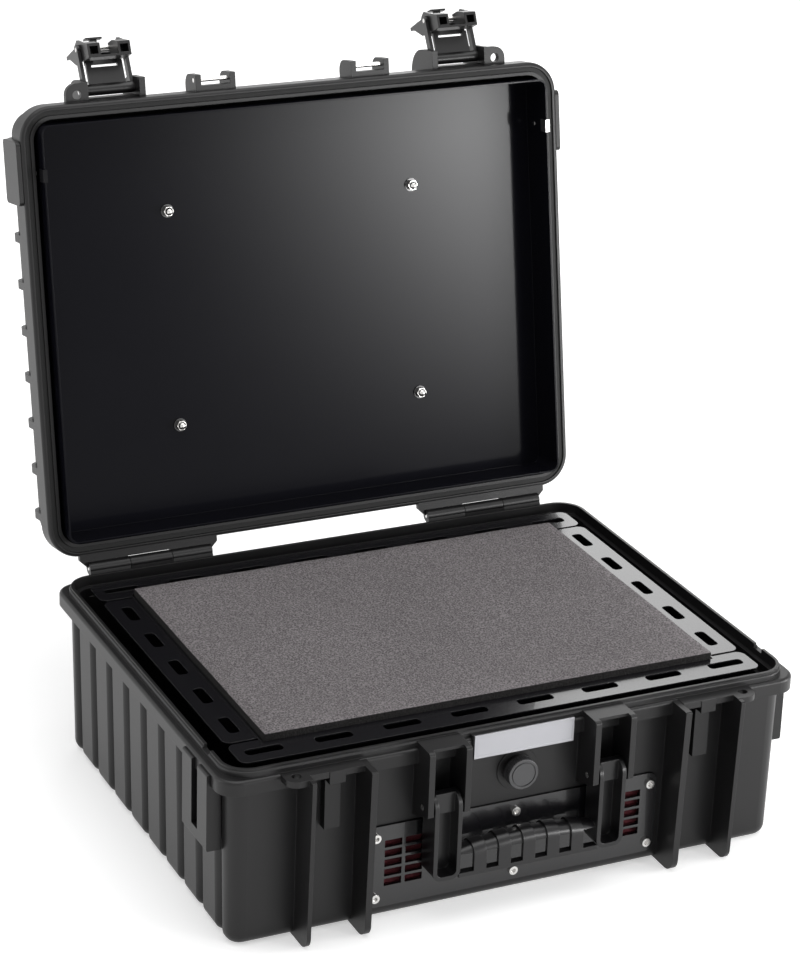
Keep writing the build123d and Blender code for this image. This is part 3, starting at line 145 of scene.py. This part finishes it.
# Fine moulded grain: a speckled bump on slightly rounded edges, with masks of the specks and a soft cloud
grain_group, grain_in, grain_out = new_group(
    "moulded grain",
    (("Scale", 1500.0), ("Depth", 0.08), ("Edge Radius", 0.0006)),
    (("Normal", "NodeSocketVector"), ("Specks", "NodeSocketFloat"), ("Cloud", "NodeSocketFloat")),
)
place = add_node(grain_group, "ShaderNodeTexCoord")
specks = add_node(grain_group, "ShaderNodeTexNoise", Detail=2.0, Roughness=0.6)
cloud = add_node(grain_group, "ShaderNodeTexNoise", Scale=14.0, Detail=3.0, Roughness=0.55)
rounded = grain_group.nodes.new("ShaderNodeBevel")
rounded.samples = 4
bump = add_node(grain_group, "ShaderNodeBump", Distance=0.0002)
for source, target in (
    (place.outputs["Object"], specks.inputs["Vector"]),
    (place.outputs["Object"], cloud.inputs["Vector"]),
    (grain_in.outputs["Scale"], specks.inputs["Scale"]),
    (grain_in.outputs["Edge Radius"], rounded.inputs["Radius"]),
    (grain_in.outputs["Depth"], bump.inputs["Strength"]),
    (specks.outputs["Fac"], bump.inputs["Height"]),
    (rounded.outputs["Normal"], bump.inputs["Normal"]),
    (bump.outputs["Normal"], grain_out.inputs["Normal"]),
    (specks.outputs["Fac"], grain_out.inputs["Specks"]),
    (cloud.outputs["Fac"], grain_out.inputs["Cloud"]),
):
    grain_group.links.new(source, target)

roughness_spread = 0.05


def grained(name, dark, light, roughness, specular=0.5, edge=0.0006, scale=1500.0, depth=0.08,
            metallic=0.0, coat=0.0):
    """A moulded or painted finish: two close colours in a soft cloud, with grain and rounded edges."""
    material, tree, shader = new_material(name)
    grain = tree.nodes.new("ShaderNodeGroup")
    grain.node_tree = grain_group
    set_inputs(grain, Scale=scale, Depth=depth, Edge_Radius=edge)
    colour = mix_colours(tree, grain.outputs["Cloud"], dark, light)
    gloss = mix_numbers(tree, grain.outputs["Specks"], roughness - roughness_spread,
                        roughness + roughness_spread)
    tree.links.new(colour, shader.inputs["Base Color"])
    tree.links.new(gloss, shader.inputs["Roughness"])
    tree.links.new(grain.outputs["Normal"], shader.inputs["Normal"])
    set_inputs(shader, Metallic=metallic, Specular_IOR_Level=specular, Coat_Weight=coat)
    return material


case_plastic = grained("case plastic", (0.0034, 0.0032, 0.0035), (0.0065, 0.0061, 0.0065), 0.40,
                       specular=0.36)
small_plastic = grained("latch plastic", (0.0036, 0.0034, 0.0037), (0.007, 0.0066, 0.007), 0.34,
                        specular=0.45, edge=0.0004)
handle_plastic = grained("handle plastic", (0.0032, 0.003, 0.0035), (0.006, 0.0056, 0.0063), 0.30,
                         specular=0.42, edge=0.0008)
knob_plastic = grained("knob plastic", (0.034, 0.034, 0.036), (0.048, 0.048, 0.050), 0.4, edge=0.0003)
sheet_paint = grained("satin black paint", (0.0036, 0.0034, 0.0044), (0.0056, 0.0053, 0.0064), 0.25,
                      edge=0.0005, scale=2600.0, depth=0.03, coat=0.35)
tray_paint = grained("tray paint", (0.0034, 0.0034, 0.0054), (0.005, 0.005, 0.0072), 0.12,
                     specular=0.08, edge=0.0005, scale=2600.0, depth=0.02)
seal_rubber = grained("seal rubber", (0.004, 0.004, 0.004), (0.007, 0.007, 0.007), 0.6,
                      specular=0.3, edge=0.0003)
bright_steel = grained("bright steel", (0.60, 0.59, 0.57), (0.70, 0.69, 0.68), 0.22,
                       edge=0.0003, scale=2500.0, depth=0.05, metallic=1.0)
plate_metal = grained("bare plate", (0.34, 0.34, 0.36), (0.40, 0.40, 0.42), 0.36,
                      edge=0.0004, scale=3000.0, depth=0.04, metallic=1.0)

# The tray's edge clips: bare steel at the right (above 0 on X), and painted over at the left
clip_steel, clip_tree, clip_shader = new_material("clip steel")
clip_place = clip_tree.nodes.new("ShaderNodeTexCoord")
clip_split = clip_tree.nodes.new("ShaderNodeSeparateXYZ")
clip_tree.links.new(clip_place.outputs["Object"], clip_split.inputs["Vector"])
clip_bare = calculated(clip_tree, "GREATER_THAN", clip_split.outputs["X"], 0.0)
for value, name in (
    (mix_colours(clip_tree, clip_bare, (0.006, 0.006, 0.007), (0.55, 0.54, 0.53)), "Base Color"),
    (mix_numbers(clip_tree, clip_bare, 0.0, 1.0), "Metallic"),
    (mix_numbers(clip_tree, clip_bare, 0.1, 0.5), "Specular IOR Level"),
):
    clip_tree.links.new(value, clip_shader.inputs[name])
set_inputs(clip_shader, Roughness=0.3)

finishes = {
    case_plastic: ("base_shell", "lid_shell", "base_strap_brackets", "lid_strap_brackets"),
    small_plastic: ("latch_link_left", "latch_link_right", "latch_lever_left", "latch_lever_right",
                    "valve_body", "valve_nut"),
    handle_plastic: ("carry_handle",),
    knob_plastic: ("valve_knob",),
    sheet_paint: ("vent_panel", "vent_backing_plate", "inner_box", "liner_washers"),
    tray_paint: ("lid_liner",),
    seal_rubber: ("valve_seal_ring", "box_spacers", "lid_seal", "liner_sealing_washers"),
    bright_steel: ("vent_panel_screws", "hinge_pins", "box_screws", "handle_pins", "liner_bolts",
                   "liner_cap_nuts", "lid_hook_rods", "latch_link_pins", "latch_lever_pin_left",
                   "latch_lever_pin_right", "liner_rivets"),
    clip_steel: ("liner_edge_clips",),
    plate_metal: ("label_plate",),
}
for material, names in finishes.items():
    for name in names:
        nodes[name].data.materials.clear()
        nodes[name].data.materials.append(material)


def foam_material(name, pore, skin):
    """Cut foam: pores of two sizes, darker than its skin, under a broad and faint shading."""
    cell_weight = 0.55
    shade_low, shade_high = 0.86, 1.08
    material, tree, shader = new_material(name)
    place = tree.nodes.new("ShaderNodeTexCoord")
    cells = add_node(tree, "ShaderNodeTexVoronoi", Scale=620.0, Randomness=1.0)
    fine = add_node(tree, "ShaderNodeTexNoise", Scale=900.0, Detail=3.0, Roughness=0.7)
    broad = add_node(tree, "ShaderNodeTexNoise", Scale=9.0, Detail=2.0)
    for texture in (cells, fine, broad):
        tree.links.new(place.outputs["Object"], texture.inputs["Vector"])
    speck = calculated(tree, "MULTIPLY_ADD", cells.outputs["Distance"], cell_weight, fine.outputs["Fac"])
    grain = add_node(tree, "ShaderNodeMapRange", From_Min=0.5, From_Max=0.98)
    tree.links.new(speck, grain.inputs["Value"])
    shade = tree.nodes.new("ShaderNodeMix")
    shade.data_type = "RGBA"
    shade.blend_type = "MULTIPLY"
    set_inputs(shade, Factor=1.0)
    tree.links.new(mix_colours(tree, grain.outputs["Result"], pore, skin), shade.inputs["A"])
    tree.links.new(mix_colours(tree, broad.outputs["Fac"], (shade_low,) * 3, (shade_high,) * 3),
                   shade.inputs["B"])
    tree.links.new(shade.outputs["Result"], shader.inputs["Base Color"])
    add_bump(tree, grain.outputs["Result"], 0.7, shader)
    set_inputs(shader, Roughness=0.95, Specular_IOR_Level=0.2)
    return material


# Lit and shaded copies of one foam: the top with painted light, the sides with painted shade, much darker
foam_top_painted_light = foam_material("foam top painted light", (0.040, 0.036, 0.037), (0.225, 0.208, 0.214))
foam_side_painted_shade = foam_material("foam side painted shade", (0.003, 0.003, 0.003), (0.016, 0.015, 0.015))

# Filter mat
filter_red, filter_tree, filter_shader = new_material("filter mat")
fibre_place = filter_tree.nodes.new("ShaderNodeTexCoord")
fibres = add_node(filter_tree, "ShaderNodeTexNoise", Scale=700.0, Detail=4.0, Roughness=0.7)
filter_tree.links.new(fibre_place.outputs["Object"], fibres.inputs["Vector"])
fibre_colour = mix_colours(filter_tree, fibres.outputs["Fac"], (0.025, 0.005, 0.007), (0.26, 0.046, 0.062))
filter_tree.links.new(fibre_colour, filter_shader.inputs["Base Color"])
add_bump(filter_tree, fibres.outputs["Fac"], 0.6, filter_shader)
set_inputs(filter_shader, Roughness=0.9)


# Pieces made here

def finish_mesh(shape, name, materials):
    """The finished mesh as an object at the origin."""
    mesh = bpy.data.meshes.new(name)
    bmesh.ops.recalc_face_normals(shape, faces=shape.faces)
    shape.to_mesh(mesh)
    shape.free()
    for material in materials:
        mesh.materials.append(material)
    piece = bpy.data.objects.new(name, mesh)
    scene.collection.objects.link(piece)
    return piece


foam_edge = 0.0012
foam_cuts = 24
ripple_depth = 0.0004
ripple_x, ripple_y = (61, 1.3), (47, 0.4)  # radians per metre, and the start in radians
# Faces turned up more than this take the painted-light top colour, the rest the painted-shade side colour
facing_up = 0.6


def foam_block(name, body, low, high):
    """A block of cut foam between two corners, with soft edges, a slightly uneven top, and painted shade on
    its sides.
    """
    shape = bmesh.new()
    size = high - low
    bmesh.ops.create_cube(shape, size=1)
    bmesh.ops.scale(shape, vec=size, verts=shape.verts)
    bmesh.ops.translate(shape, vec=(low + high) / 2, verts=shape.verts)
    bmesh.ops.bevel(shape, geom=shape.edges[:], offset=foam_edge, segments=2, affect="EDGES", profile=0.5,
                    material=-1)
    for axis in (0, 1):
        normal = Vector((0, 0, 0))
        normal[axis] = 1
        for i in range(1, foam_cuts):
            point = low.copy()
            point[axis] += size[axis] * i / foam_cuts
            bmesh.ops.bisect_plane(shape, geom=shape.verts[:] + shape.edges[:] + shape.faces[:],
                                   plane_co=point, plane_no=normal)
    for vertex in shape.verts:
        if vertex.co.z > high.z - foam_edge / 2:
            ripple = math.prod(
                math.sin(vertex.co[axis] * rate + start)
                for axis, (rate, start) in enumerate((ripple_x, ripple_y))
            )
            vertex.co.z -= ripple_depth * (0.5 + 0.5 * ripple)
    for face in shape.faces:
        face.smooth = True
        # Painted light on the up-facing faces and painted shade on the sides
        face.material_index = 0 if face.normal.z > facing_up else 1
    piece = finish_mesh(shape, name, (foam_top_painted_light, foam_side_painted_shade))
    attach(piece, body)
    return piece


pad_low, pad_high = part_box("foam_top_pad")
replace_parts(foam_block("foam_pad_cut", "foam_top_pad", pad_low, pad_high), "foam_top_pad")
floor_low, floor_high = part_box("foam_floor_pad")
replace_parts(foam_block("foam_floor_cut", "base", floor_low, floor_high), "foam_floor_pad")

# The front and rear walls run the whole width, and the left and right ones stand between them
wall_low, wall_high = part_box("foam_wall_pads")
wall_thickness = 0.025
joint_gap = 0.0003
for axis, hands in ((0, ("left", "right")), (1, ("front", "rear"))):
    for hand in hands:
        low, high = wall_low.copy(), wall_high.copy()
        if axis == 0:
            low.y += wall_thickness + joint_gap
            high.y -= wall_thickness + joint_gap
        if hand == hands[0]:
            high[axis] = low[axis] + wall_thickness
        else:
            low[axis] = high[axis] - wall_thickness
        piece = foam_block(f"foam_wall_{hand}", "base", low, high)
        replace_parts(piece, "foam_wall_pads")

# Pleated filter mats behind the vent's slots
filter_low, filter_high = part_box("vent_filters")
filter_width = 0.0376
pleat_pitch = 0.0047
pleat_depth = 0.006
mat_margin = 0.001
mat_thickness = 0.0009
fold_angle, fold_rounding = 0.6, 0.0002
for side, hand in ((-1, "left"), (1, "right")):
    outer = filter_high.x if side > 0 else filter_low.x
    inner = outer - side * filter_width
    height = filter_high.z - filter_low.z
    shape = bmesh.new()
    bmesh.ops.create_grid(shape, x_segments=1, y_segments=2 * round(height / pleat_pitch), size=0.5)
    bmesh.ops.scale(shape, vec=(filter_width, height - mat_margin, 1), verts=shape.verts)
    bmesh.ops.rotate(shape, cent=(0, 0, 0), matrix=Matrix.Rotation(math.pi / 2, 3, "X"), verts=shape.verts)
    rows = sorted({round(vertex.co.z, 6) for vertex in shape.verts})
    for vertex in shape.verts:
        fold = rows.index(round(vertex.co.z, 6)) % 2
        vertex.co.y = filter_low.y + mat_margin + pleat_depth * fold
    bmesh.ops.translate(shape, vec=((inner + outer) / 2, 0, (filter_low.z + filter_high.z) / 2),
                        verts=shape.verts)
    bmesh.ops.solidify(shape, geom=shape.faces[:], thickness=mat_thickness)
    folds = [edge for edge in shape.edges if edge.calc_face_angle(0) > fold_angle]
    bmesh.ops.bevel(shape, geom=folds, offset=fold_rounding, segments=1, affect="EDGES", profile=0.5,
                    material=-1)
    piece = finish_mesh(shape, f"filter_mat_{hand}", (filter_red,))
    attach(piece, "base")
    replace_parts(piece, "vent_filters")


# Floor, world and lamps

def camera_or_gloss(tree):
    """1 for what the camera, gloss and glass see, 0 for the light that falls on the object."""
    path = tree.nodes.new("ShaderNodeLightPath")
    either = calculated(tree, "MAXIMUM", path.outputs["Is Camera Ray"], path.outputs["Is Glossy Ray"])
    return calculated(tree, "MAXIMUM", either, path.outputs["Is Transmission Ray"])


world = bpy.data.worlds.new("studio")
world.use_nodes = True
scene.world = world
background = world.node_tree.nodes["Background"]
ambient_strength, white_strength = 0.45, 1.0
world.node_tree.links.new(
    mix_numbers(world.node_tree, camera_or_gloss(world.node_tree), ambient_strength, white_strength),
    background.inputs["Strength"],
)
set_inputs(background, Color=(1, 1, 1, 1))

# The floor glows more with the distance, so that it stays white where the lamps no longer reach
floor_reach = 14
floor_material, floor_tree, floor_shader = new_material("floor")
set_inputs(floor_shader, Base_Color=(0.82, 0.82, 0.82, 1), Roughness=0.9, Specular_IOR_Level=0.1,
           Emission_Color=(1, 1, 1, 1))
floor_place = floor_tree.nodes.new("ShaderNodeTexCoord")
floor_away = floor_tree.nodes.new("ShaderNodeVectorMath")
floor_away.operation = "LENGTH"
floor_glow = add_node(floor_tree, "ShaderNodeMapRange", From_Min=0.4, From_Max=1.6, To_Min=0.44, To_Max=0.75)
floor_tree.links.new(floor_place.outputs["Object"], floor_away.inputs[0])
floor_tree.links.new(floor_away.outputs["Value"], floor_glow.inputs["Value"])
floor_seen = calculated(floor_tree, "MULTIPLY", floor_glow.outputs["Result"], camera_or_gloss(floor_tree))
floor_tree.links.new(floor_seen, floor_shader.inputs["Emission Strength"])
floor_shape = bmesh.new()
bmesh.ops.create_grid(floor_shape, x_segments=1, y_segments=1, size=floor_reach)
floor = finish_mesh(floor_shape, "floor", (floor_material,))


def softbox(name, place, target, width, height, power):
    """A rectangular lamp at a place, turned to a target."""
    lamp = bpy.data.lights.new(name, "AREA")
    lamp.shape = "RECTANGLE"
    lamp.size, lamp.size_y = width, height
    lamp.energy = power
    piece = bpy.data.objects.new(name, lamp)
    piece.location = place
    piece.rotation_euler = (Vector(target) - Vector(place)).to_track_quat("-Z", "Y").to_euler()
    scene.collection.objects.link(piece)
    return lamp


def fade(lamp, *limits):
    """Lets a lamp's glow rise from none to full along two axes, by (axis, from, to, power)."""
    lamp.use_nodes = True
    tree = lamp.node_tree
    place = tree.nodes.new("ShaderNodeNewGeometry")
    split = tree.nodes.new("ShaderNodeSeparateXYZ")
    tree.links.new(place.outputs["Position"], split.inputs["Vector"])
    curves = []
    for axis, start, end, power in limits:
        along = add_node(tree, "ShaderNodeMapRange", From_Min=start, From_Max=end)
        tree.links.new(split.outputs[axis], along.inputs["Value"])
        curves.append(calculated(tree, "POWER", along.outputs["Result"], power))
    tree.links.new(calculated(tree, "MULTIPLY", *curves), tree.nodes["Emission"].inputs["Strength"])


softbox("overhead", (0.1, -0.2, 2.6), (0, 0, 0.1), 2.4, 2.4, 38)
# The lid's tray mirrors this one: bright at its right and upper end, and fading to the left and downwards
mirrored = softbox("front_right", (0.84, -1.75, 0.375), (0.84, 0.2, 0.375), 0.8, 0.65, 86)
fade(mirrored, ("X", 0.42, 1.20, 3.0), ("Z", -0.05, 0.58, 1.6))
softbox("left", (-2.4, 0.6, 1.0), (0, 0, 0.2), 1.4, 1.4, 12)
softbox("right", (1.35, -0.8, 0.35), (0.25, -0.15, 0.1), 0.5, 0.5, 14)
softbox("back_right", (1.25, 2.1, 1.15), (0.25, 0, 0.15), 1.0, 1.0, 6.5)
